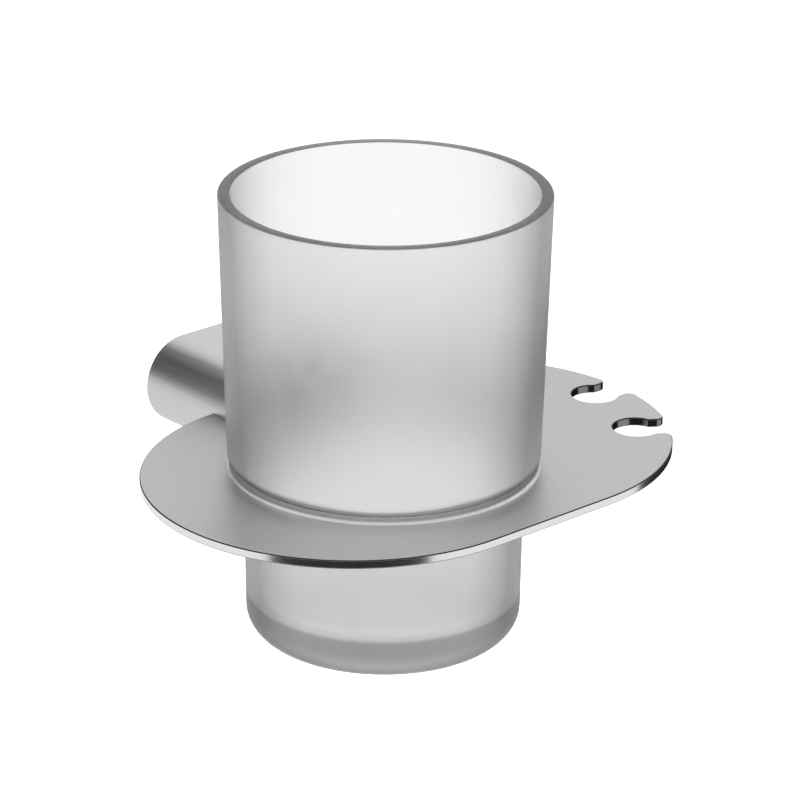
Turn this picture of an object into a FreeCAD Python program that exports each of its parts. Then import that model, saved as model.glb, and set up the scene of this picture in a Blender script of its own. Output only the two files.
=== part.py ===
import FreeCAD
import Part
import math
import os

# A wall-mounted holder for a stepped glass tumbler, with two notches for toothbrushes.
# Sizes are in millimetres. +X runs along the wall to the right, +Y into the wall, +Z up.
# The origin lies on the wall, at the middle of the post's section.

# Tumbler
rim_diameter = 72.9
glass_height = 103.0
glass_wall = 2.9              # at the rim
upper_draft = 1.7             # radius lost from the rim down to the shoulder
shoulder_step = 3.55          # radius lost under the shoulder
lower_draft = 0.5             # radius lost from the shoulder down to the base
shoulder_height = 40.7        # base to the shoulder's underside
shoulder_round = 2.3
shoulder_root_round = 0.25
rim_round = 0.35
base_round = 6.0
base_thickness = 8.0
well_diameter = 52.0          # inside, at the base
well_round = 5.0
punt_depth = 0.8              # shallow hollow under the base
punt_margin = 9.0             # base's edge to the hollow
punt_slope = 1.5
punt_round = 0.6

# Seat ring: a soft grommet in the plate's hole that carries the shoulder
glass_clearance = 0.3         # tumbler's lower body to the ring's bore
ring_web = 1.0
ring_fit = 0.05
flange_reach = 2.25           # past the edge of the hole
flange_thickness = 0.9
flange_round = 0.4
lip_reach = 0.8               # bead under the plate
lip_thickness = 0.9
ring_edge_round = 0.25
seat_gap = 0.1                # shoulder to the ring

# Holder plate: a stadium of sheet steel with its long axis along the wall
plate_thickness = 2.0
plate_straight = 34.1         # between the centres of its round ends
plate_edge_round = 0.3
wall_gap = 23.8               # wall to the plate's back edge
glass_offset = 7.5            # tumbler's axis left of the plate's middle
post_gap = 2.25               # tumbler's rim to the post
slot_grip = 8.0               # how far the plate goes into the post

# Toothbrush notches, on the arc of the plate's right end
notch_count = 2
notch_diameter = 10.8
notch_inset = 7.6             # plate's edge to the notch's centre
notch_mouth = 8.0
mouth_round = 1.8
throat_round = 1.0
first_notch_angle = -2.5      # degrees from the plate's long axis
notch_pitch_angle = -32.0

# Post: a stadium section that stands out from the wall
post_width = 37.0
post_height = 21.0
post_wall = 3.2
post_web = 4.0                # between the hollow and the slot
post_front_round = 0.8
slot_clearance = 0.05

# Screws that clamp the plate in the post's slot
clamp_screw_diameter = 3.0
clamp_screw_spacing = 11.0
clamp_head_diameter = 5.6
clamp_head_sink = 0.2
clamp_thread_depth = 6.0      # above the plate
clamp_bore_spare = 1.0
clamp_socket = 2.0            # across flats
clamp_socket_depth = 1.1
clamp_plate_clearance = 0.2
screw_fit = 0.05

# Wall bracket inside the post
bracket_clearance = 0.25
bracket_thickness = 3.0
bracket_end_gap = 2.0
boss_width = 9.0
boss_round = 1.5
wall_hole_diameter = 4.5
wall_hole_inset = 5.05        # bracket's end to a wall hole's centre
wall_hole_sink_diameter = 8.6

# Grub screw that locks the post on the bracket
grub_diameter = 4.0
grub_from_wall = 10.0
grub_recess = 0.4
grub_seat_depth = 1.0
grub_seat_clearance = 0.3
grub_tip_chamfer = 0.5
grub_socket = 2.0             # across flats
grub_socket_depth = 1.8

# Radii and levels that follow from the sizes above
rim_radius = rim_diameter / 2
shoulder_radius = rim_radius - upper_draft
lower_top_radius = shoulder_radius - shoulder_step
base_radius = lower_top_radius - lower_draft
ring_bore_radius = lower_top_radius + glass_clearance
hole_radius = ring_bore_radius + ring_web + ring_fit
flange_radius = hole_radius + flange_reach
plate_top = plate_thickness / 2
plate_bottom = -plate_thickness / 2
shoulder_level = plate_top + flange_thickness + seat_gap
base_level = shoulder_level - shoulder_height

# Plan that follows from the sizes above
widest_radius = max(rim_radius, shoulder_radius)
plate_radius = widest_radius + post_gap + slot_grip
plate_width = 2 * plate_radius
plate_length = plate_straight + plate_width
glass_reach = wall_gap + plate_radius
post_length = wall_gap + slot_grip
post_bottom = -post_height / 2
hollow_width = post_width - 2 * post_wall
hollow_height = post_height - 2 * post_wall
hollow_depth = wall_gap - post_web
bracket_width = hollow_width - 2 * bracket_clearance
wall_hole_spacing = bracket_width - 2 * wall_hole_inset
boss_length = hollow_depth - bracket_end_gap
boss_height = hollow_height - 2 * bracket_clearance
clamp_reach = wall_gap + slot_grip / 2
past = 1.0                    # how far a cutter runs past the face it cuts

UP = FreeCAD.Vector(0, 0, 1)
ORIGIN = FreeCAD.Vector(0, 0, 0)


def at(x, y, z):
    return FreeCAD.Vector(x, y, z)


def rounded_wire(corners):
    """A closed wire of lines through (point, radius) corners, with a tangent arc at each corner."""
    joins = []
    for index, (corner, radius) in enumerate(corners):
        back = (corners[index - 1][0] - corner).normalize()
        ahead = (corners[(index + 1) % len(corners)][0] - corner).normalize()
        half = back.getAngle(ahead) / 2
        reach = radius / math.tan(half)
        middle = corner + (back + ahead).normalize() * (radius / math.sin(half) - radius)
        joins.append((corner + back * reach, middle, corner + ahead * reach, radius))
    edges = []
    for index, (start, middle, end, radius) in enumerate(joins):
        if radius > 0:
            edges.append(Part.Arc(start, middle, end).toShape())
        edges.append(Part.LineSegment(end, joins[(index + 1) % len(joins)][0]).toShape())
    return Part.Wire(edges)


def turned(profile):
    """A solid of revolution about Z from (radius, height, rounding) corners."""
    corners = [(at(radius, 0, height), rounding) for radius, height, rounding in profile]
    return Part.Face(rounded_wire(corners)).revolve(ORIGIN, UP, 360)


def stadium_prism(length, width, depth):
    """A bar of stadium section, long axis on X, that rises from Z = 0."""
    end = width / 2
    straight = (length - width) / 2
    wire = Part.Wire([
        Part.LineSegment(at(-straight, -end, 0), at(straight, -end, 0)).toShape(),
        Part.Arc(at(straight, -end, 0), at(straight + end, 0, 0), at(straight, end, 0)).toShape(),
        Part.LineSegment(at(straight, end, 0), at(-straight, end, 0)).toShape(),
        Part.Arc(at(-straight, end, 0), at(-straight - end, 0, 0), at(-straight, -end, 0)).toShape(),
    ])
    return Part.Face(wire).extrude(at(0, 0, depth))


def off_wall(shape):
    """Turns a shape that rises along Z so that it stands out from the wall, along -Y."""
    shape.rotate(ORIGIN, at(1, 0, 0), 90)
    return shape


def hex_socket(across_flats, depth, level):
    """A hexagonal cutter that goes up by depth from a level on Z."""
    radius = across_flats / math.sqrt(3)
    turns = [math.radians(60 * corner) for corner in range(7)]
    corners = [at(radius * math.cos(turn), radius * math.sin(turn), level - past) for turn in turns]
    return Part.Face(Part.makePolygon(corners)).extrude(at(0, 0, depth + past))


def glass_tumbler():
    punt_radius = base_radius - punt_margin
    glass = turned([
        (0, punt_depth, 0),
        (punt_radius - punt_slope, punt_depth, punt_round),
        (punt_radius, 0, punt_round),
        (base_radius, 0, base_round),
        (lower_top_radius, shoulder_height, shoulder_root_round),
        (shoulder_radius, shoulder_height, shoulder_round),
        (rim_radius, glass_height, rim_round),
        (rim_radius - glass_wall, glass_height, rim_round),
        (well_diameter / 2, base_thickness, well_round),
        (0, base_thickness, 0),
    ])
    glass.translate(at(-glass_offset, -glass_reach, base_level))
    return glass


def seat_ring():
    web_radius = hole_radius - ring_fit
    lip_radius = hole_radius + lip_reach
    lip_top = plate_bottom - ring_fit
    ring = turned([
        (ring_bore_radius, lip_top - lip_thickness, ring_edge_round),
        (lip_radius, lip_top - lip_thickness, ring_edge_round),
        (lip_radius, lip_top, ring_edge_round),
        (web_radius, lip_top, 0),
        (web_radius, plate_top, 0),
        (flange_radius, plate_top, 0),
        (flange_radius, plate_top + flange_thickness, flange_round),
        (ring_bore_radius, plate_top + flange_thickness, ring_edge_round),
    ])
    ring.translate(at(-glass_offset, -glass_reach, 0))
    return ring


def notch_place(index):
    """A notch's own frame on the plate's right end: its centre, with +X out through its mouth."""
    turn = FreeCAD.Rotation(UP, first_notch_angle + index * notch_pitch_angle)
    end_centre = at(plate_straight / 2, -glass_reach, 0)
    return FreeCAD.Placement(end_centre + turn.multVec(at(plate_radius - notch_inset, 0, 0)), turn)


def notch_cutter(index):
    """A round hole that opens to the plate's edge through a narrower mouth."""
    low = plate_bottom - past
    height = plate_thickness + 2 * past
    cutter = Part.makeCylinder(notch_diameter / 2, height, at(0, 0, low))
    mouth = Part.makeBox(notch_inset + past, notch_mouth, height, at(0, -notch_mouth / 2, low))
    cutter = cutter.fuse(mouth)
    cutter.Placement = notch_place(index)
    return cutter


def round_upright_edges(plate, points, radius):
    """Rounds the upright edges of the plate that lie nearest to points of its mid plane."""
    edges = [min(plate.Edges, key=lambda edge: edge.CenterOfMass.distanceToPoint(point)) for point in points]
    return plate.makeFillet(radius, edges)


def holder_plate():
    plate = stadium_prism(plate_length, plate_width, plate_thickness)
    plate.translate(at(0, -glass_reach, plate_bottom))
    half_mouth = notch_mouth / 2
    throat = math.sqrt((notch_diameter / 2) ** 2 - half_mouth ** 2)
    mouth = math.sqrt(plate_radius ** 2 - half_mouth ** 2) - (plate_radius - notch_inset)
    for index in range(notch_count):
        plate = plate.cut(notch_cutter(index))
    for x, radius in ((mouth, mouth_round), (throat, throat_round)):
        points = [notch_place(index).multVec(at(x, y, 0))
                  for index in range(notch_count) for y in (-half_mouth, half_mouth)]
        plate = round_upright_edges(plate, points, radius)
    faces = [face for face in plate.Faces if abs(abs(face.CenterOfMass.z) - plate_top) < plate_edge_round]
    rims = [edge for face in faces for edge in face.OuterWire.Edges]
    plate = plate.makeFillet(plate_edge_round, rims)
    height = plate_thickness + 2 * past
    low = plate_bottom - past
    plate = plate.cut(Part.makeCylinder(hole_radius, height, at(-glass_offset, -glass_reach, low)))
    for side in (-1, 1):
        hole = Part.makeCylinder(clamp_screw_diameter / 2 + clamp_plate_clearance, height,
                                 at(side * clamp_screw_spacing / 2, -clamp_reach, low))
        plate = plate.cut(hole)
    return plate


def clamp_screw_form(radial_gap, top):
    """A countersunk screw, head down, on the Z axis, or its bore when a gap is given."""
    head_low = post_bottom + clamp_head_sink
    head_radius = clamp_head_diameter / 2
    shank_radius = clamp_screw_diameter / 2
    cone_height = head_radius - shank_radius
    head = Part.makeCone(head_radius + radial_gap, shank_radius + radial_gap, cone_height, at(0, 0, head_low))
    shank = Part.makeCylinder(shank_radius + radial_gap, top - head_low, at(0, 0, head_low))
    return head.fuse(shank).removeSplitter()


def clamp_screw(side):
    screw = clamp_screw_form(0, plate_top + clamp_thread_depth)
    screw = screw.cut(hex_socket(clamp_socket, clamp_socket_depth, post_bottom + clamp_head_sink))
    screw.translate(at(side * clamp_screw_spacing / 2, -clamp_reach, 0))
    return screw


def clamp_bore(side):
    bore = clamp_screw_form(screw_fit, plate_top + clamp_thread_depth + clamp_bore_spare)
    mouth = Part.makeCylinder(clamp_head_diameter / 2 + screw_fit, clamp_head_sink + past,
                              at(0, 0, post_bottom - past))
    bore = bore.fuse(mouth)
    bore.translate(at(side * clamp_screw_spacing / 2, -clamp_reach, 0))
    return bore


def post_body():
    post = off_wall(stadium_prism(post_width, post_height, post_length))
    front = min(post.Faces, key=lambda face: face.CenterOfMass.y)
    post = post.makeFillet(post_front_round, front.Edges)
    post = post.cut(off_wall(stadium_prism(hollow_width, hollow_height, hollow_depth)))
    slot_height = plate_thickness + 2 * slot_clearance
    slot_depth = slot_grip + slot_clearance + past
    slot = Part.makeBox(post_width + 2 * past, slot_depth, slot_height,
                        at(-post_width / 2 - past, -post_length - past, -slot_height / 2))
    post = post.cut(slot)
    for side in (-1, 1):
        post = post.cut(clamp_bore(side))
    grub_bore = Part.makeCylinder(grub_diameter / 2 + screw_fit, post_wall + 2 * past,
                                  at(0, -grub_from_wall, post_bottom - past))
    return post.cut(grub_bore)


def wall_bracket():
    bracket = off_wall(stadium_prism(bracket_width, boss_height, bracket_thickness))
    boss = Part.makeBox(boss_width, boss_length, boss_height,
                        at(-boss_width / 2, -boss_length, -boss_height / 2))
    long_edges = [edge for edge in boss.Edges if abs(edge.tangentAt(edge.FirstParameter).y) > 0.5]
    boss = boss.makeFillet(boss_round, long_edges)
    bracket = bracket.fuse(boss).removeSplitter()
    wall_hole_radius = wall_hole_diameter / 2
    sink_radius = wall_hole_sink_diameter / 2
    sink_depth = sink_radius - wall_hole_radius
    for side in (-1, 1):
        hole = Part.makeCylinder(wall_hole_radius, bracket_thickness + 2 * past, at(0, 0, -past))
        sink = Part.makeCone(wall_hole_radius, sink_radius, sink_depth,
                             at(0, 0, bracket_thickness - sink_depth))
        cutter = off_wall(hole.fuse(sink))
        cutter.translate(at(side * wall_hole_spacing / 2, 0, 0))
        bracket = bracket.cut(cutter)
    seat = Part.makeCylinder(grub_diameter / 2 + grub_seat_clearance, grub_seat_depth + past,
                             at(0, -grub_from_wall, -boss_height / 2 - past))
    return bracket.cut(seat)


def grub_screw():
    low = post_bottom + grub_recess
    tip = -boss_height / 2 + grub_seat_depth
    radius = grub_diameter / 2
    screw = Part.makeCylinder(radius, tip - low - grub_tip_chamfer, at(0, 0, low))
    point = Part.makeCone(radius, radius - grub_tip_chamfer, grub_tip_chamfer,
                          at(0, 0, tip - grub_tip_chamfer))
    screw = screw.fuse(point).removeSplitter().cut(hex_socket(grub_socket, grub_socket_depth, low))
    screw.translate(at(0, -grub_from_wall, 0))
    return screw


pieces = {
    "glass_tumbler": glass_tumbler(),
    "seat_ring": seat_ring(),
    "holder_plate": holder_plate(),
    "post_body": post_body(),
    "wall_bracket": wall_bracket(),
    "grub_screw": grub_screw(),
    "clamp_screw_left": clamp_screw(-1),
    "clamp_screw_right": clamp_screw(1),
}

os.makedirs("parts", exist_ok=True)
for name, shape in pieces.items():
    shape.exportStep(f"parts/{name}.step")
    print(f"{name}: {len(shape.Solids)} solid, valid {shape.isValid()}, {shape.Volume:.1f} mm3")
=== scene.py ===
# %% [markdown]
# # A glass tumbler in its wall holder
# This lesson dresses a wall-mounted tumbler holder: a frosted glass with a stepped waist hangs by its
# shoulder in a clear ring, the ring sits in a steel plate, and a steel post carries the plate off the wall.
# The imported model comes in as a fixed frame, in metres, and nothing of it is moved. Pieces whose shape is
# right keep their solid and get a finish. The tumbler is modelled again here, because the fine frost
# outside, the coarser frost inside and the polished rim are three finishes on one piece of glass.

# %% Load the frame
import math

import bmesh
import bpy
from mathutils import Matrix, Vector


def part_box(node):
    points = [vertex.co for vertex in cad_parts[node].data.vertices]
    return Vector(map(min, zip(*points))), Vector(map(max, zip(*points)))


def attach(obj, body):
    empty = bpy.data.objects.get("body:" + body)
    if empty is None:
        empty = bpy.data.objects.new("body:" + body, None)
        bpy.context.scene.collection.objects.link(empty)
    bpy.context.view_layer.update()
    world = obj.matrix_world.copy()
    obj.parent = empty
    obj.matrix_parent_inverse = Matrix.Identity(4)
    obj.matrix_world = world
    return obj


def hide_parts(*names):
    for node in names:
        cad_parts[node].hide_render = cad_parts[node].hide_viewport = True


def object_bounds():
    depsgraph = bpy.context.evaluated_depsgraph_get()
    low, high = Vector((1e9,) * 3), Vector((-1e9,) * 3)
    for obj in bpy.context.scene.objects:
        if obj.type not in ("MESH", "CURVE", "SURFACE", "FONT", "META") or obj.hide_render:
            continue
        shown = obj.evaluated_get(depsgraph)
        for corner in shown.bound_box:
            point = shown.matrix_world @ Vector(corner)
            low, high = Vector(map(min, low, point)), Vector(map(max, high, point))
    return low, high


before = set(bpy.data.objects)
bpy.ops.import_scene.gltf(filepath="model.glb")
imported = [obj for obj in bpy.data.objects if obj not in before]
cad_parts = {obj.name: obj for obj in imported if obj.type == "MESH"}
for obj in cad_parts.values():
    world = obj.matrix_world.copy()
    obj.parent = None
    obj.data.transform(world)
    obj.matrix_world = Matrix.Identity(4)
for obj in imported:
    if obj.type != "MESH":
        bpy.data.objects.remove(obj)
cad_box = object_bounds()
MM = 0.001
print("nodes:", ", ".join(sorted(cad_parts)))

# %% [markdown]
# ## Colours and nodes
# Colours are written as the eye reads them off a screen, in sRGB hex, and turned to the linear values that a
# shader needs. One small function adds any node, sets its properties and fills its inputs with a value or
# with a link. A Mix node has sockets for numbers and for colours at once, under the same names, so they are
# picked by their place, and each place gets a name here.

# %% Helpers for every finish
SHARE = 0
NUMBER_A = 2
NUMBER_B = 3
COLOUR_A = 6
COLOUR_B = 7
MIXED_NUMBER = 0
MIXED_COLOUR = 2


def linear(hex_colour):
    """An sRGB hex colour as linear red, green, blue and alpha, by the curve of the sRGB standard."""
    shares = [int(hex_colour[start:start + 2], 16) / 255 for start in (1, 3, 5)]
    curve = [share / 12.92 if share <= 0.04045 else ((share + 0.055) / 1.055) ** 2.4 for share in shares]
    return (*curve, 1.0)


def add(tree, kind, inputs=None, **settings):
    """Adds one node. An input takes a plain value, or a socket to link from."""
    made = tree.nodes.new(kind)
    for name, value in settings.items():
        setattr(made, name, value)
    for name, value in (inputs or {}).items():
        if isinstance(value, bpy.types.NodeSocket):
            tree.links.new(value, made.inputs[name])
        else:
            made.inputs[name].default_value = value
    return made


def new_finish(name, **sockets):
    """A material with one Principled shader, and its constant sockets set."""
    material = bpy.data.materials.new(name)
    material.use_nodes = True
    shader = material.node_tree.nodes["Principled BSDF"]
    for socket, value in sockets.items():
        shader.inputs[socket.replace("_", " ")].default_value = value
    return material, material.node_tree, shader


print("light grey #C0C0C0 in linear values:", [round(value, 3) for value in linear("#C0C0C0")[:3]])

# %% [markdown]
# ## The camera
# The view was worked out from the picture: the ellipses of the rim and the base give the height of the eye,
# and the straight and round stretches of the plate give the turn. A long lens from under a metre away keeps
# the verticals nearly parallel. The camera leans by half a degree, as the picture does.

# %% Aim the camera
view_turn = -41.94
view_height = 22.18
view_lean = 0.48
view_distance = 888.4 * MM
aim = Vector((-4.94, -72.80, 15.84)) * MM
sensor_width = 36.0
lens = 181.4
nearest_seen = 10 * MM


def direction(turn, rise):
    """The way out from the object, in degrees: turned from straight ahead to the right, and raised."""
    turn = math.radians(turn)
    rise = math.radians(rise)
    return Vector((math.sin(turn) * math.cos(rise), -math.cos(turn) * math.cos(rise), math.sin(rise)))


away = direction(view_turn, view_height)
lean = Matrix.Rotation(math.radians(view_lean), 4, "Z").to_quaternion()
bpy.ops.object.select_all(action="DESELECT")
bpy.ops.object.camera_add(location=aim + away * view_distance)
camera = bpy.context.object
camera.name = "photo_view"
camera.rotation_mode = "QUATERNION"
camera.rotation_quaternion = away.to_track_quat("Z", "Y") @ lean
camera.data.sensor_width = sensor_width
camera.data.lens = lens
camera.data.clip_start = nearest_seen
bpy.context.scene.camera = camera
print("camera at", [round(value, 4) for value in camera.location])

# %% [markdown]
# ## The white room
# The picture was lit by a white room: white behind, above and below. Lamps could do that too, but a white
# world of strength 1 gives the same plain light from everywhere, at which a colour renders about as it is
# written. The Standard view passes the colours on without a film look.

# %% Light the room
white = linear("#FFFFFF")
scene = bpy.context.scene
scene.view_settings.view_transform = "Standard"
world = bpy.data.worlds.new("white_room")
scene.world = world
world.use_nodes = True
background = world.node_tree.nodes["Background"]
background.inputs["Color"].default_value = white
background.inputs["Strength"].default_value = 1.0
print("world:", world.name, "in the", scene.view_settings.view_transform, "view")

# %% [markdown]
# ## The floor
# The holder hangs on a wall, so its floor lies well below it and keeps only a faint shadow. A floor of pale
# paint would show as light grey behind the object. Its paint therefore adds some light of its own to what the
# camera sees, and a little to what metal and glass show of it. Light Path tells these rays apart, and no more
# light falls on the object.

# %% Lay the floor
floor_drop = 600 * MM
floor_span = 8.0
camera_lift = 0.50
mirror_lift = 0.12

bpy.ops.object.select_all(action="DESELECT")
bpy.ops.mesh.primitive_plane_add(size=floor_span, location=(0, 0, cad_box[0].z - floor_drop))
floor = bpy.context.object
floor.name = "floor"
floor_paint, tree, shader = new_finish("floor_paint", Base_Color=linear("#F0F0F0"), Roughness=1.0,
                                       Specular_IOR_Level=0.0, Emission_Color=white)
path = add(tree, "ShaderNodeLightPath")
mirrored = add(tree, "ShaderNodeMath", {0: path.outputs["Is Glossy Ray"],
                                        1: path.outputs["Is Transmission Ray"]}, operation="MAXIMUM")
lift = add(tree, "ShaderNodeMath", {0: mirrored.outputs[0], 1: mirror_lift}, operation="MULTIPLY")
lift = add(tree, "ShaderNodeMath", {0: path.outputs["Is Camera Ray"], 1: camera_lift, 2: lift.outputs[0]},
           operation="MULTIPLY_ADD")
tree.links.new(lift.outputs[0], shader.inputs["Emission Strength"])
floor.data.materials.append(floor_paint)
print("floor at", round(floor.location.z, 4), "m")

# %% [markdown]
# ## Dark cards
# Bright metal looks like what stands round it. In the picture the post has a soft dark stripe and the plate's
# edge has dark stretches, so something dark stood to the left, to the right and in front. Three dark cards
# stand there, and show only in gloss. A fourth, small one at the right shows only through the glass, whose
# right edge it greys. The camera sees none of them, and they cast no shadow.

# %% Stand the cards
card_paint = new_finish("card_paint", Base_Color=linear("#282828"), Roughness=1.0,
                        Specular_IOR_Level=0.0)[0]
# Turn and rise are in degrees, reach and size in metres.
cards = {
    "left_card": {"turn": -157.6, "rise": 20, "reach": 0.215, "size": (0.19, 0.176), "shows_in": "gloss"},
    "right_card": {"turn": 86, "rise": -20, "reach": 0.18, "size": (0.16, 0.07), "shows_in": "gloss"},
    "side_card": {"turn": 92, "rise": -20, "reach": 0.18, "size": (0.07, 0.06), "shows_in": "glass"},
    "front_card": {"turn": -43, "rise": -20, "reach": 0.42, "size": (0.64, 0.28), "shows_in": "gloss"},
}
for name, card in cards.items():
    outward = direction(card["turn"], card["rise"])
    bpy.ops.object.select_all(action="DESELECT")
    bpy.ops.mesh.primitive_plane_add(size=1.0, location=aim + outward * card["reach"])
    panel = bpy.context.object
    panel.name = name
    panel.scale = (*card["size"], 1.0)
    panel.rotation_mode = "QUATERNION"
    panel.rotation_quaternion = outward.to_track_quat("Z", "Y")
    panel.visible_camera = False
    panel.visible_diffuse = False
    panel.visible_shadow = False
    panel.visible_glossy = card["shows_in"] == "gloss"
    panel.visible_transmission = card["shows_in"] == "glass"
    panel.data.materials.append(card_paint)
    print(name, "shows in", card["shows_in"])

# %% [markdown]
# ## The tumbler's section
# The real glass is pressed in a mould, and its rim is cut flat. It is a turned shape, so all of it follows
# from one half section, a list of corners that are each a radius and a height above the base. The lower wall
# is narrow, the shoulder steps out over the ring, and the base is thick, with a shallow hollow under it. The
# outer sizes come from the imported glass, so that the new one fills the same place.

# %% Measure the section
glass_low, glass_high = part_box("glass_tumbler")
glass_axis = (glass_low + glass_high) / 2
turn_centre = Vector((glass_axis.x, glass_axis.y, glass_low.z))
glass_height = glass_high.z - glass_low.z
rim_radius = (glass_high.x - glass_low.x) / 2

wall = 2.9 * MM
upper_flare = 1.7 * MM
shoulder_step = 3.55 * MM
lower_flare = 0.5 * MM
shoulder_height = 40.7 * MM
well_radius = 26.0 * MM
base_thickness = 8.0 * MM
foot_width = 9.0 * MM
hollow_slope = 1.5 * MM
hollow_depth = 0.8 * MM
shoulder_radius = rim_radius - upper_flare
waist_radius = shoulder_radius - shoulder_step
base_radius = waist_radius - lower_flare
hollow_radius = base_radius - foot_width

foot = (base_radius, 0.0)
waist = (waist_radius, shoulder_height)
shoulder = (shoulder_radius, shoulder_height)
rim_outside = (rim_radius, glass_height)
rim_inside = (rim_radius - wall, glass_height)
well = (well_radius, base_thickness)
hollow_edge = (hollow_radius, 0.0)
hollow_top = (hollow_radius - hollow_slope, hollow_depth)
print("rim", round(2 * rim_radius / MM, 1), "mm across, shoulder", round(2 * shoulder_radius / MM, 1),
      "mm, base", round(2 * base_radius / MM, 1), "mm")

# %% [markdown]
# ## Draw the glass up
# A spun profile would do, but drawing a cap shows how the glass is built up. The start is a low cylinder with
# many sides. Its top cap goes up to the waist, and is then extruded from corner to corner: out at the
# shoulder, up to the rim, in over the rim and down inside to the base. The lower cap is extruded into the
# hollow in the same way. A cap is found by its height and by the way it faces.

# %% Turn the shape
glass_sides = 192
start_height = 1.0 * MM
near_enough = 0.02 * MM
facing_level = 0.9


def clear_selection():
    """The mesh that is in edit mode, with nothing of it selected."""
    mesh = bmesh.from_edit_mesh(bpy.context.object.data)
    for part in (*mesh.verts, *mesh.edges, *mesh.faces):
        part.select = False
    return mesh


def select_cap(height, upward):
    """Selects the flat cap that closes the shape at a height, facing up (1) or down (-1)."""
    mesh = clear_selection()
    for face in mesh.faces:
        level = abs(face.calc_center_median().z - turn_centre.z - height) < near_enough
        face.select = len(face.verts) == glass_sides and level and face.normal.z * upward > facing_level
    mesh.select_flush_mode()
    bmesh.update_edit_mesh(bpy.context.object.data)


def widen_cap(start, end):
    """Scales the selected cap about the glass's axis, from the radius of one corner to the next."""
    share = end[0] / start[0]
    bpy.ops.transform.resize(value=(share, share, 1), center_override=turn_centre)


def draw_caps(corners):
    """Extrudes the selected cap from each corner of the section to the next."""
    for start, end in zip(corners, corners[1:]):
        bpy.ops.mesh.extrude_region_move(TRANSFORM_OT_translate={"value": (0, 0, end[1] - start[1])})
        widen_cap(start, end)


bpy.ops.object.select_all(action="DESELECT")
bpy.ops.mesh.primitive_cylinder_add(vertices=glass_sides, radius=base_radius, depth=start_height,
                                    end_fill_type="NGON",
                                    location=turn_centre + Vector((0, 0, start_height / 2)))
tumbler = bpy.context.object
tumbler.name = "tumbler"
bpy.ops.object.transform_apply(location=True, rotation=True, scale=True)
bpy.ops.object.mode_set(mode="EDIT")
bpy.ops.mesh.select_mode(type="FACE")
select_cap(start_height, 1)
bpy.ops.transform.translate(value=(0, 0, shoulder_height - start_height))
widen_cap(foot, waist)
draw_caps([waist, shoulder, rim_outside, rim_inside, well])
select_cap(0.0, -1)
draw_caps([foot, hollow_edge, hollow_top])
bpy.ops.object.mode_set(mode="OBJECT")
print("turned shape:", len(tumbler.data.polygons), "faces")

# %% [markdown]
# ## Round its corners
# Molten glass leaves no sharp corner in a mould: the foot and the well are wide curves, and the shoulder a
# smaller one. The cut rim has only a fine arris on both sides. A bevel on the whole mesh would give all of
# them one size, so each ring of edges is selected by its radius and height and gets its own bevel.

# %% Round the corners
smooth_under = math.radians(30)
roundings = [
    {"corner": foot, "size": 6.0 * MM, "steps": 10},
    {"corner": shoulder, "size": 2.3 * MM, "steps": 8},
    {"corner": rim_outside, "size": 0.35 * MM, "steps": 3},
    {"corner": rim_inside, "size": 0.35 * MM, "steps": 3},
    {"corner": well, "size": 5.0 * MM, "steps": 10},
    {"corner": hollow_edge, "size": 0.4 * MM, "steps": 3},
    {"corner": hollow_top, "size": 0.4 * MM, "steps": 3},
]


def select_ring(radius, height):
    """Selects the ring of edges at a radius and height above the glass's base."""
    mesh = clear_selection()

    def on_ring(point):
        spot = point.co - turn_centre
        off_radius = abs(math.hypot(spot.x, spot.y) - radius)
        return off_radius < near_enough and abs(spot.z - height) < near_enough

    for edge in mesh.edges:
        edge.select = all(on_ring(point) for point in edge.verts)
    bmesh.update_edit_mesh(bpy.context.object.data)


bpy.ops.object.mode_set(mode="EDIT")
bpy.ops.mesh.select_mode(type="EDGE")
for rounding in roundings:
    select_ring(*rounding["corner"])
    bpy.ops.mesh.bevel(offset=rounding["size"], offset_type="OFFSET", segments=rounding["steps"],
                       profile=0.5, affect="EDGES")
bpy.ops.mesh.select_all(action="SELECT")
bpy.ops.mesh.normals_make_consistent(inside=False)
bpy.ops.object.mode_set(mode="OBJECT")
bpy.ops.object.shade_smooth_by_angle(angle=smooth_under)
print("tumbler:", len(tumbler.data.polygons), "faces,", round(tumbler.dimensions.z / MM, 2), "mm high")

# %% [markdown]
# ## Fine patterns
# No real surface is even. Frost, brushing and polishing all leave marks of a certain size, so every finish
# here starts from one soft noise, stretched to the real size of its marks. It reads the piece's own Object
# coordinates, so the pattern stays on the piece when it moves.

# %% A pattern of a real size
noise_middle = {"From Min": 0.3, "From Max": 0.7}


def grain(tree, size, **settings):
    """Soft noise on the piece's own coordinates, with cells of a size in metres along X, Y and Z."""
    place = add(tree, "ShaderNodeTexCoord")
    fitted = add(tree, "ShaderNodeMapping", {"Vector": place.outputs["Object"],
                                             "Scale": [1 / length for length in size]})
    noise = add(tree, "ShaderNodeTexNoise", {"Vector": fitted.outputs["Vector"], "Scale": 1.0, **settings})
    return noise.outputs["Fac"]


print("a noise is used between", noise_middle["From Min"], "and", noise_middle["From Max"], "of its range")

# %% [markdown]
# ## Grey of thick glass, and painted shade
# Clear as it is, glass greys the light a little, and more so the longer the way through it, so the thick base
# reads as a grey band. Glass with absorption in its volume could do that, but slowly and with much noise, so
# the colour of the surface does it, by the height above the base. The same colour carries painted shade too:
# a dark line at the shoulder where the glass sits on the ring, a faint grey on the wall up to 64 mm that
# fades out by 82 mm, and grey on both sides of the wall where the surface turns edge on, set by its slant.

# %% Grey and painted shade on the glass
# Heights above the base in millimetres, each with the tone of the glass there. The band of the thick base is
# the glass's own grey. The faint grey of the wall above it, gone by 82 mm, is painted shade.
base_grey_and_wall_shade_tones = [(0.0, "#E8E8E8"), (3.5, "#BEBEBE"), (6.5, "#949494"), (9.6, "#949494"), (10.6, "#F0F0F0"),
              (64.0, "#ECECEC"), (82.0, "#FFFFFF")]
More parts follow.
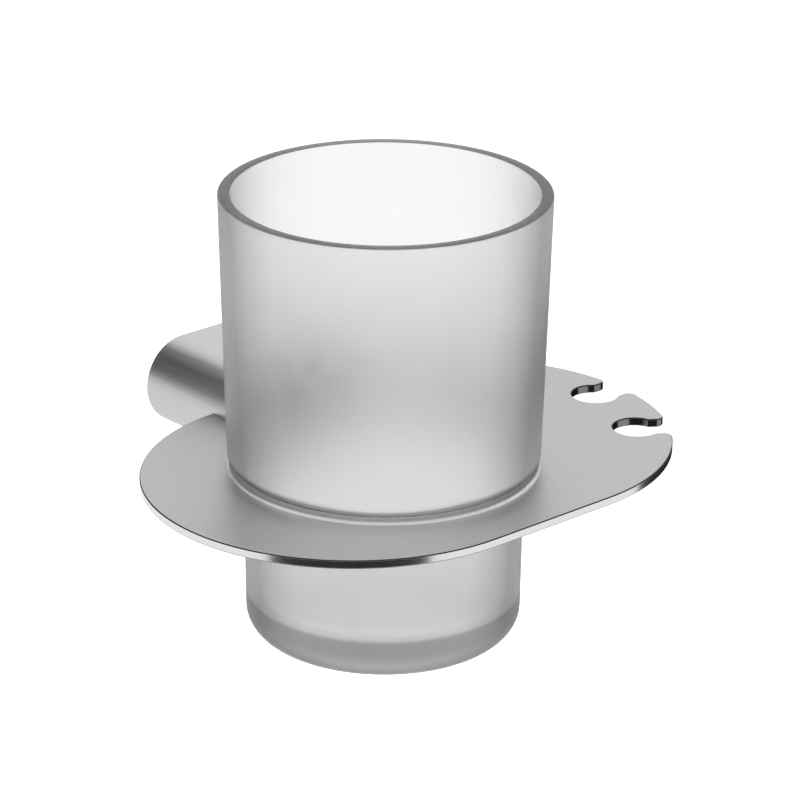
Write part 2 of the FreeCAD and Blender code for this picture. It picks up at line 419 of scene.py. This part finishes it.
# Painted shade: a dark line at the shoulder, where the glass sits on the ring.
painted_shoulder_shade_tones = [(0.0, "#FFFFFF"), (40.6, "#FFFFFF"), (40.8, "#787878"), (42.7, "#787878"),
                  (43.6, "#FFFFFF")]
# Painted shade on both sides of the wall, where the surface turns edge on.
painted_edge_shade_tone = "#A8A8A8"


def by_height(tree, tones):
    """A colour that follows the height above the glass's base, in millimetres."""
    place = add(tree, "ShaderNodeTexCoord")
    above = add(tree, "ShaderNodeSeparateXYZ", {"Vector": place.outputs["Object"]})
    share = add(tree, "ShaderNodeMapRange", {"Value": above.outputs["Z"], "From Min": turn_centre.z,
                                             "From Max": turn_centre.z + glass_height})
    ramp = add(tree, "ShaderNodeValToRGB", {"Fac": share.outputs["Result"]})
    stops = ramp.color_ramp.elements
    stops.remove(stops[1])
    stops[0].color = linear(tones[0][1])
    for height, grey in tones[1:]:
        stops.new(height * MM / glass_height).color = linear(grey)
    return ramp.outputs["Color"]


def paint_shade_along(tree, colour, grey, start, end):
    """Paints shade on the outer side between two slants: 0 where the surface faces the eye, 1 where it is
    edge on.
    """
    slant = add(tree, "ShaderNodeLayerWeight", {"Blend": 0.5})
    share = add(tree, "ShaderNodeMapRange", {"Value": slant.outputs["Facing"],
                                             "From Min": start, "From Max": end})
    side = add(tree, "ShaderNodeNewGeometry")
    share = add(tree, "ShaderNodeMix", {SHARE: side.outputs["Backfacing"],
                                        NUMBER_A: share.outputs["Result"], NUMBER_B: 0.0})
    greyed = add(tree, "ShaderNodeMix", {SHARE: share.outputs[MIXED_NUMBER], COLOUR_A: colour,
                                         COLOUR_B: grey}, data_type="RGBA", blend_type="MULTIPLY")
    return greyed.outputs[MIXED_COLOUR]


print(len(base_grey_and_wall_shade_tones), "tones up the wall and", len(painted_shoulder_shade_tones), "at the shoulder")

# %% [markdown]
# ## The frost outside
# Acid-frosted soda glass: the acid covers the surface with pits far finer than a hair, so light goes through
# but nothing shows sharply. Outside it is a fine frost with a soft gloss. The pits could be modelled only at
# a scale that no mesh can hold, so roughness stands for them, and a faint bump breaks up the gloss.

# %% Frost the outside
# The pits are near 0.05 mm, drawn at 0.4 mm to show. They give the eye a satin wall without sharp shapes. The
# index is less than the 1.5 of glass: at 1.5 this rough wall turns back more light than the real one does.
pit_width = 0.4 * MM
pit_depth = 0.006 * MM
glass_index = 1.27
frosted, tree, shader = new_finish("etched_glass", Transmission_Weight=1.0, IOR=glass_index)
# The grey of the thick base, with painted shade on the lower wall, on the edge-on sides and at the shoulder.
colour = paint_shade_along(tree, by_height(tree, base_grey_and_wall_shade_tones), linear(painted_edge_shade_tone), start=0.30, end=0.62)
colour = paint_shade_along(tree, colour, by_height(tree, painted_shoulder_shade_tones), start=0.10, end=0.26)
tree.links.new(colour, shader.inputs["Base Color"])
pits = grain(tree, [pit_width] * 3, Detail=3.0)
rough = add(tree, "ShaderNodeMapRange", {"Value": pits, **noise_middle, "To Min": 0.37, "To Max": 0.45})
tree.links.new(rough.outputs["Result"], shader.inputs["Roughness"])
bump = add(tree, "ShaderNodeBump", {"Height": pits, "Distance": pit_depth, "Strength": 1.0})
tree.links.new(bump.outputs["Normal"], shader.inputs["Normal"])
print(frosted.name, "with pits", round(pit_width / MM, 2), "mm wide, in", len(tree.nodes), "nodes")

# %% [markdown]
# ## The frost inside and the polished rim
# The inside is taken as frosted too, and more coarsely: with a smooth inside, the post behind the glass shows
# through the wall higher up than in the picture. The rim is ground flat and polished after the frosting. It
# looks dark, because the eye looks down into the depth of the wall there. Its dark grey is painted shade.

# %% Frost the inside and polish the rim
# Acid works unevenly, in soft clouds some 6 mm wide, which keep the inside from looking ideal.
cloud_width = 6 * MM
inside_frost, tree, shader = new_finish("coarse_frosted_glass", Base_Color=linear("#FCFCFC"),
                                        Transmission_Weight=1.0, IOR=glass_index)
clouds = grain(tree, [cloud_width] * 3, Detail=1.0)
rough = add(tree, "ShaderNodeMapRange", {"Value": clouds, **noise_middle, "To Min": 0.64, "To Max": 0.72})
tree.links.new(rough.outputs["Result"], shader.inputs["Roughness"])

# The polished rim is a glossy band painted dark grey as shade, with a faint wave of the same width from the
# polishing wheel.
polished, tree, shader = new_finish("polished_rim", Base_Color=linear("#4A4A4A"),
                                    Transmission_Weight=1.0, IOR=glass_index)
wave = grain(tree, [cloud_width] * 3, Detail=1.0)
rough = add(tree, "ShaderNodeMapRange", {"Value": wave, **noise_middle, "To Min": 0.04, "To Max": 0.12})
tree.links.new(rough.outputs["Result"], shader.inputs["Roughness"])
print(inside_frost.name, "and", polished.name, "with waves", round(cloud_width / MM, 1), "mm wide")

# %% [markdown]
# ## Three finishes on one glass
# On the real glass the finishes meet at the rim's two arrises. The new mesh has faces that end there, so each
# face takes its finish by its place and by the way it faces: the flat top is polished, and what faces the
# glass's axis above the base is the inside. The flat seat under the shoulder takes the coarse frost as well.
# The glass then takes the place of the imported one, and moves with its body.

# %% Give each face its finish
OUTSIDE = 0
INSIDE = 1
RIM = 2
for material in (frosted, inside_frost, polished):
    tumbler.data.materials.append(material)
rim_flat = glass_height - 0.05 * MM
well_floor = base_thickness - 0.1 * MM
most_outward = 0.2
for face in tumbler.data.polygons:
    spot = face.center - turn_centre
    radius = math.hypot(spot.x, spot.y)
    outward = face.normal.x * spot.x + face.normal.y * spot.y
    inside = spot.z > well_floor and radius < shoulder_radius and outward <= most_outward * radius
    face.material_index = RIM if spot.z > rim_flat else INSIDE if inside else OUTSIDE
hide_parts("glass_tumbler")
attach(tumbler, "tumbler")
shares = [sum(face.material_index == index for face in tumbler.data.polygons)
          for index in (OUTSIDE, INSIDE, RIM)]
print("faces frosted outside, inside and polished:", shares)

# %% [markdown]
# ## The plate's brushed faces
# Stainless steel sheet, 2 mm thick, brushed on its faces. Brushing leaves straight scratches along the plate,
# which spread its reflections into a satin grey. Modelled scratches would be far too many, so a noise that is
# stretched along the plate varies the tone and the roughness.

# %% Brush the plate
# Brushing lines are some 0.05 mm wide, drawn 0.3 mm wide to show, and 25 mm long. They give a satin grey.
line_width = 0.3 * MM
line_length = 25 * MM
plate_steel, tree, shader = new_finish("brushed_stainless_sheet", Metallic=1.0)
lines = grain(tree, [line_length, line_width, line_width], Detail=3.0)
share = add(tree, "ShaderNodeMapRange", {"Value": lines, **noise_middle})
brushed = add(tree, "ShaderNodeMix", {SHARE: share.outputs["Result"], COLOUR_A: linear("#BCBCBC"),
                                      COLOUR_B: linear("#C3C3C3")}, data_type="RGBA")
brushed_rough = add(tree, "ShaderNodeMapRange", {"Value": lines, **noise_middle,
                                                 "To Min": 0.38, "To Max": 0.46})
print("plate brushed along X, lines", round(line_width / MM, 2), "mm wide")

# %% [markdown]
# ## The plate's edges
# The sheet is cut by laser. Its outer edge is polished, so it mirrors the white floor and the dark front of
# the room, and reads as a bright line with a dark middle. The cuts of the hole and the notches are left raw
# and read darker. The arris, the fine rounding between face and edge, is painted near black, as painted shade
# for the dark that it mirrors. The solid has all these faces, so masks tell them apart: by how upright a face
# is, and by how far it lies from the plate's middle line.

# %% Find the edges of the plate
# A flat face has a level of 1 and an upright one of 0. Each mask fades in between the two levels given.
arris_levels = {"From Min": 0.98, "From Max": 0.94}
upright_levels = {"From Min": 0.30, "From Max": 0.15}
facing = add(tree, "ShaderNodeNewGeometry")
tilt = add(tree, "ShaderNodeSeparateXYZ", {"Vector": facing.outputs["True Normal"]})
level = add(tree, "ShaderNodeMath", {0: tilt.outputs["Z"]}, operation="ABSOLUTE")
edge = add(tree, "ShaderNodeMapRange", {"Value": level.outputs[0], **arris_levels})
upright = add(tree, "ShaderNodeMapRange", {"Value": level.outputs[0], **upright_levels})

plate_low, plate_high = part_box("holder_plate")
end_radius = (plate_high.y - plate_low.y) / 2
half_straight = -plate_low.x - end_radius
outline_depth = 0.5 * MM
inner_depth = 1.0 * MM
place = add(tree, "ShaderNodeTexCoord")
spot = add(tree, "ShaderNodeSeparateXYZ", {"Vector": place.outputs["Object"]})
along = add(tree, "ShaderNodeClamp", {"Value": spot.outputs["X"], "Min": -half_straight,
                                      "Max": half_straight})
middle = add(tree, "ShaderNodeCombineXYZ", {"X": along.outputs[0], "Y": (plate_low.y + plate_high.y) / 2,
                                            "Z": spot.outputs["Z"]})
reach = add(tree, "ShaderNodeVectorMath", {0: place.outputs["Object"], 1: middle.outputs[0]},
            operation="DISTANCE")
inner = add(tree, "ShaderNodeMapRange", {"Value": reach.outputs["Value"],
                                         "From Min": end_radius - outline_depth,
                                         "From Max": end_radius - inner_depth})
print("plate's ends have a radius of", round(end_radius / MM, 1), "mm")

# %% [markdown]
# ## The plate's finish put together
# One piece of sheet has one material, so faces, arris, outer edge and inner cuts share a shader, and the
# masks choose between their tones. The finish goes on the object and not on its mesh, so that the packed
# solid stays as it came.


# %% Finish the plate
def dress(name, material):
    """Gives a node of the frame a finish, on the object and not on its mesh."""
    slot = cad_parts[name].material_slots[0]
    slot.link = "OBJECT"
    slot.material = material


edge_rough = 0.18
# Painted shade: the arris is near black, for the dark that it mirrors.
painted_dark_arris = add(tree, "ShaderNodeMix", {SHARE: edge.outputs["Result"], COLOUR_A: brushed.outputs[MIXED_COLOUR],
                                   COLOUR_B: linear("#2C2C2C")}, data_type="RGBA")
cut = add(tree, "ShaderNodeMix", {SHARE: inner.outputs["Result"], COLOUR_A: linear("#E2E2E2"),
                                  COLOUR_B: linear("#7C7C7C")}, data_type="RGBA")
colour = add(tree, "ShaderNodeMix", {SHARE: upright.outputs["Result"], COLOUR_A: painted_dark_arris.outputs[MIXED_COLOUR],
                                     COLOUR_B: cut.outputs[MIXED_COLOUR]}, data_type="RGBA")
tree.links.new(colour.outputs[MIXED_COLOUR], shader.inputs["Base Color"])
rough = add(tree, "ShaderNodeMix", {SHARE: edge.outputs["Result"],
                                    NUMBER_A: brushed_rough.outputs["Result"], NUMBER_B: edge_rough})
tree.links.new(rough.outputs[MIXED_NUMBER], shader.inputs["Roughness"])
dress("holder_plate", plate_steel)
print(plate_steel.name, "on the plate, in", len(tree.nodes), "nodes")

# %% [markdown]
# ## The post
# The post is bar of the same steel, brushed along its length. Its round sides bend the room into a soft dark
# stripe. Its front end, which shows only through the glass, is painted a darker grey, as painted shade for
# the end in the shade behind the glass. That end is flat, so the way a face points tells it apart.

# %% Finish the post
# The same brushing lines as on the plate, turned along Y, give the same satin grey.
front_facing = {"From Min": -0.90, "From Max": -0.98}
post_steel, tree, shader = new_finish("brushed_stainless_bar", Metallic=1.0)
lines = grain(tree, [line_width, line_length, line_width], Detail=3.0)
share = add(tree, "ShaderNodeMapRange", {"Value": lines, **noise_middle})
tone = add(tree, "ShaderNodeMix", {SHARE: share.outputs["Result"], COLOUR_A: linear("#C8C8C8"),
                                   COLOUR_B: linear("#D0D0D0")}, data_type="RGBA")
facing = add(tree, "ShaderNodeNewGeometry")
tilt = add(tree, "ShaderNodeSeparateXYZ", {"Vector": facing.outputs["True Normal"]})
painted_end_shade = add(tree, "ShaderNodeMapRange", {"Value": tilt.outputs["Y"], **front_facing})
# Painted shade: the front end is darker grey.
colour = add(tree, "ShaderNodeMix", {SHARE: painted_end_shade.outputs["Result"], COLOUR_A: tone.outputs[MIXED_COLOUR],
                                     COLOUR_B: linear("#787878")}, data_type="RGBA")
tree.links.new(colour.outputs[MIXED_COLOUR], shader.inputs["Base Color"])
rough = add(tree, "ShaderNodeMapRange", {"Value": lines, **noise_middle, "To Min": 0.36, "To Max": 0.42})
tree.links.new(rough.outputs["Result"], shader.inputs["Roughness"])
dress("post_body", post_steel)
print("post brushed along Y, lines", round(line_length / MM, 1), "mm long")

# %% [markdown]
# ## The ring
# The ring is moulded of clear soft PVC. Its outer side gathers the light of the room and reads as a pale
# line, and its top shows the shade between glass and plate. Plastic that is clear all through would show
# mostly the plate under it. A pale and a grey tone, told apart by height, under a glossy coat, come closer.

# %% Finish the ring
# Soft plastic has a slightly uneven gloss, in patches some 2 mm wide. It gives a pale, wet-looking line.
patch_width = 2 * MM
clear_pvc, tree, shader = new_finish("clear_pvc", Transmission_Weight=0.1, IOR=1.53, Coat_Weight=1.0,
                                     Coat_IOR=2.2, Coat_Roughness=0.05)
flange_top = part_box("seat_ring")[1].z
side_depth = 0.45 * MM
top_depth = 0.10 * MM
place = add(tree, "ShaderNodeTexCoord")
spot = add(tree, "ShaderNodeSeparateXYZ", {"Vector": place.outputs["Object"]})
# Painted shade: the grey tone on the ring's top, between glass and plate.
top = add(tree, "ShaderNodeMapRange", {"Value": spot.outputs["Z"], "From Min": flange_top - side_depth,
                                       "From Max": flange_top - top_depth})
colour = add(tree, "ShaderNodeMix", {SHARE: top.outputs["Result"], COLOUR_A: linear("#F8F8F8"),
                                     COLOUR_B: linear("#8A8A8A")}, data_type="RGBA")
tree.links.new(colour.outputs[MIXED_COLOUR], shader.inputs["Base Color"])
patches = grain(tree, [patch_width] * 3, Detail=2.0)
rough = add(tree, "ShaderNodeMapRange", {"Value": patches, **noise_middle, "To Min": 0.08, "To Max": 0.18})
tree.links.new(rough.outputs["Result"], shader.inputs["Roughness"])
dress("seat_ring", clear_pvc)
print("ring's top at", round(flange_top / MM, 2), "mm")

# %% [markdown]
# ## The bracket and the screws
# The bracket is milled aluminium and the screws are turned stainless steel. They show from below and from
# behind. Both finishes are a metal with fine tool marks that vary its tone and roughness, so one loop makes
# the two of them.

# %% Finish the bracket and the screws
# Milling leaves 0.4 mm marks, 8 mm long, and a pale silky grey. Turning leaves marks that are drawn as a fine
# grain of 0.3 mm, and a darker, glossier grey.
small_metals = {
    "milled_aluminium": {"marks": [0.4 * MM, 8 * MM, 0.4 * MM], "tones": ("#C4C5C6", "#D2D3D4"),
                         "rough": (0.28, 0.40), "nodes": ["wall_bracket"]},
    "turned_stainless": {"marks": [0.3 * MM, 0.3 * MM, 0.3 * MM], "tones": ("#A8A8A6", "#B8B8B6"),
                         "rough": (0.22, 0.32),
                         "nodes": ["clamp_screw_left", "clamp_screw_right", "grub_screw"]},
}
for name, look in small_metals.items():
    metal, tree, shader = new_finish(name, Metallic=1.0)
    dark, light = [linear(tone) for tone in look["tones"]]
    smoothest, roughest = look["rough"]
    marks = grain(tree, look["marks"], Detail=2.0)
    share = add(tree, "ShaderNodeMapRange", {"Value": marks, **noise_middle})
    tone = add(tree, "ShaderNodeMix", {SHARE: share.outputs["Result"], COLOUR_A: dark, COLOUR_B: light},
               data_type="RGBA")
    tree.links.new(tone.outputs[MIXED_COLOUR], shader.inputs["Base Color"])
    rough = add(tree, "ShaderNodeMapRange", {"Value": marks, **noise_middle,
                                             "To Min": smoothest, "To Max": roughest})
    tree.links.new(rough.outputs["Result"], shader.inputs["Roughness"])
    for node in look["nodes"]:
        dress(node, metal)
    print(name, "on", ", ".join(look["nodes"]))
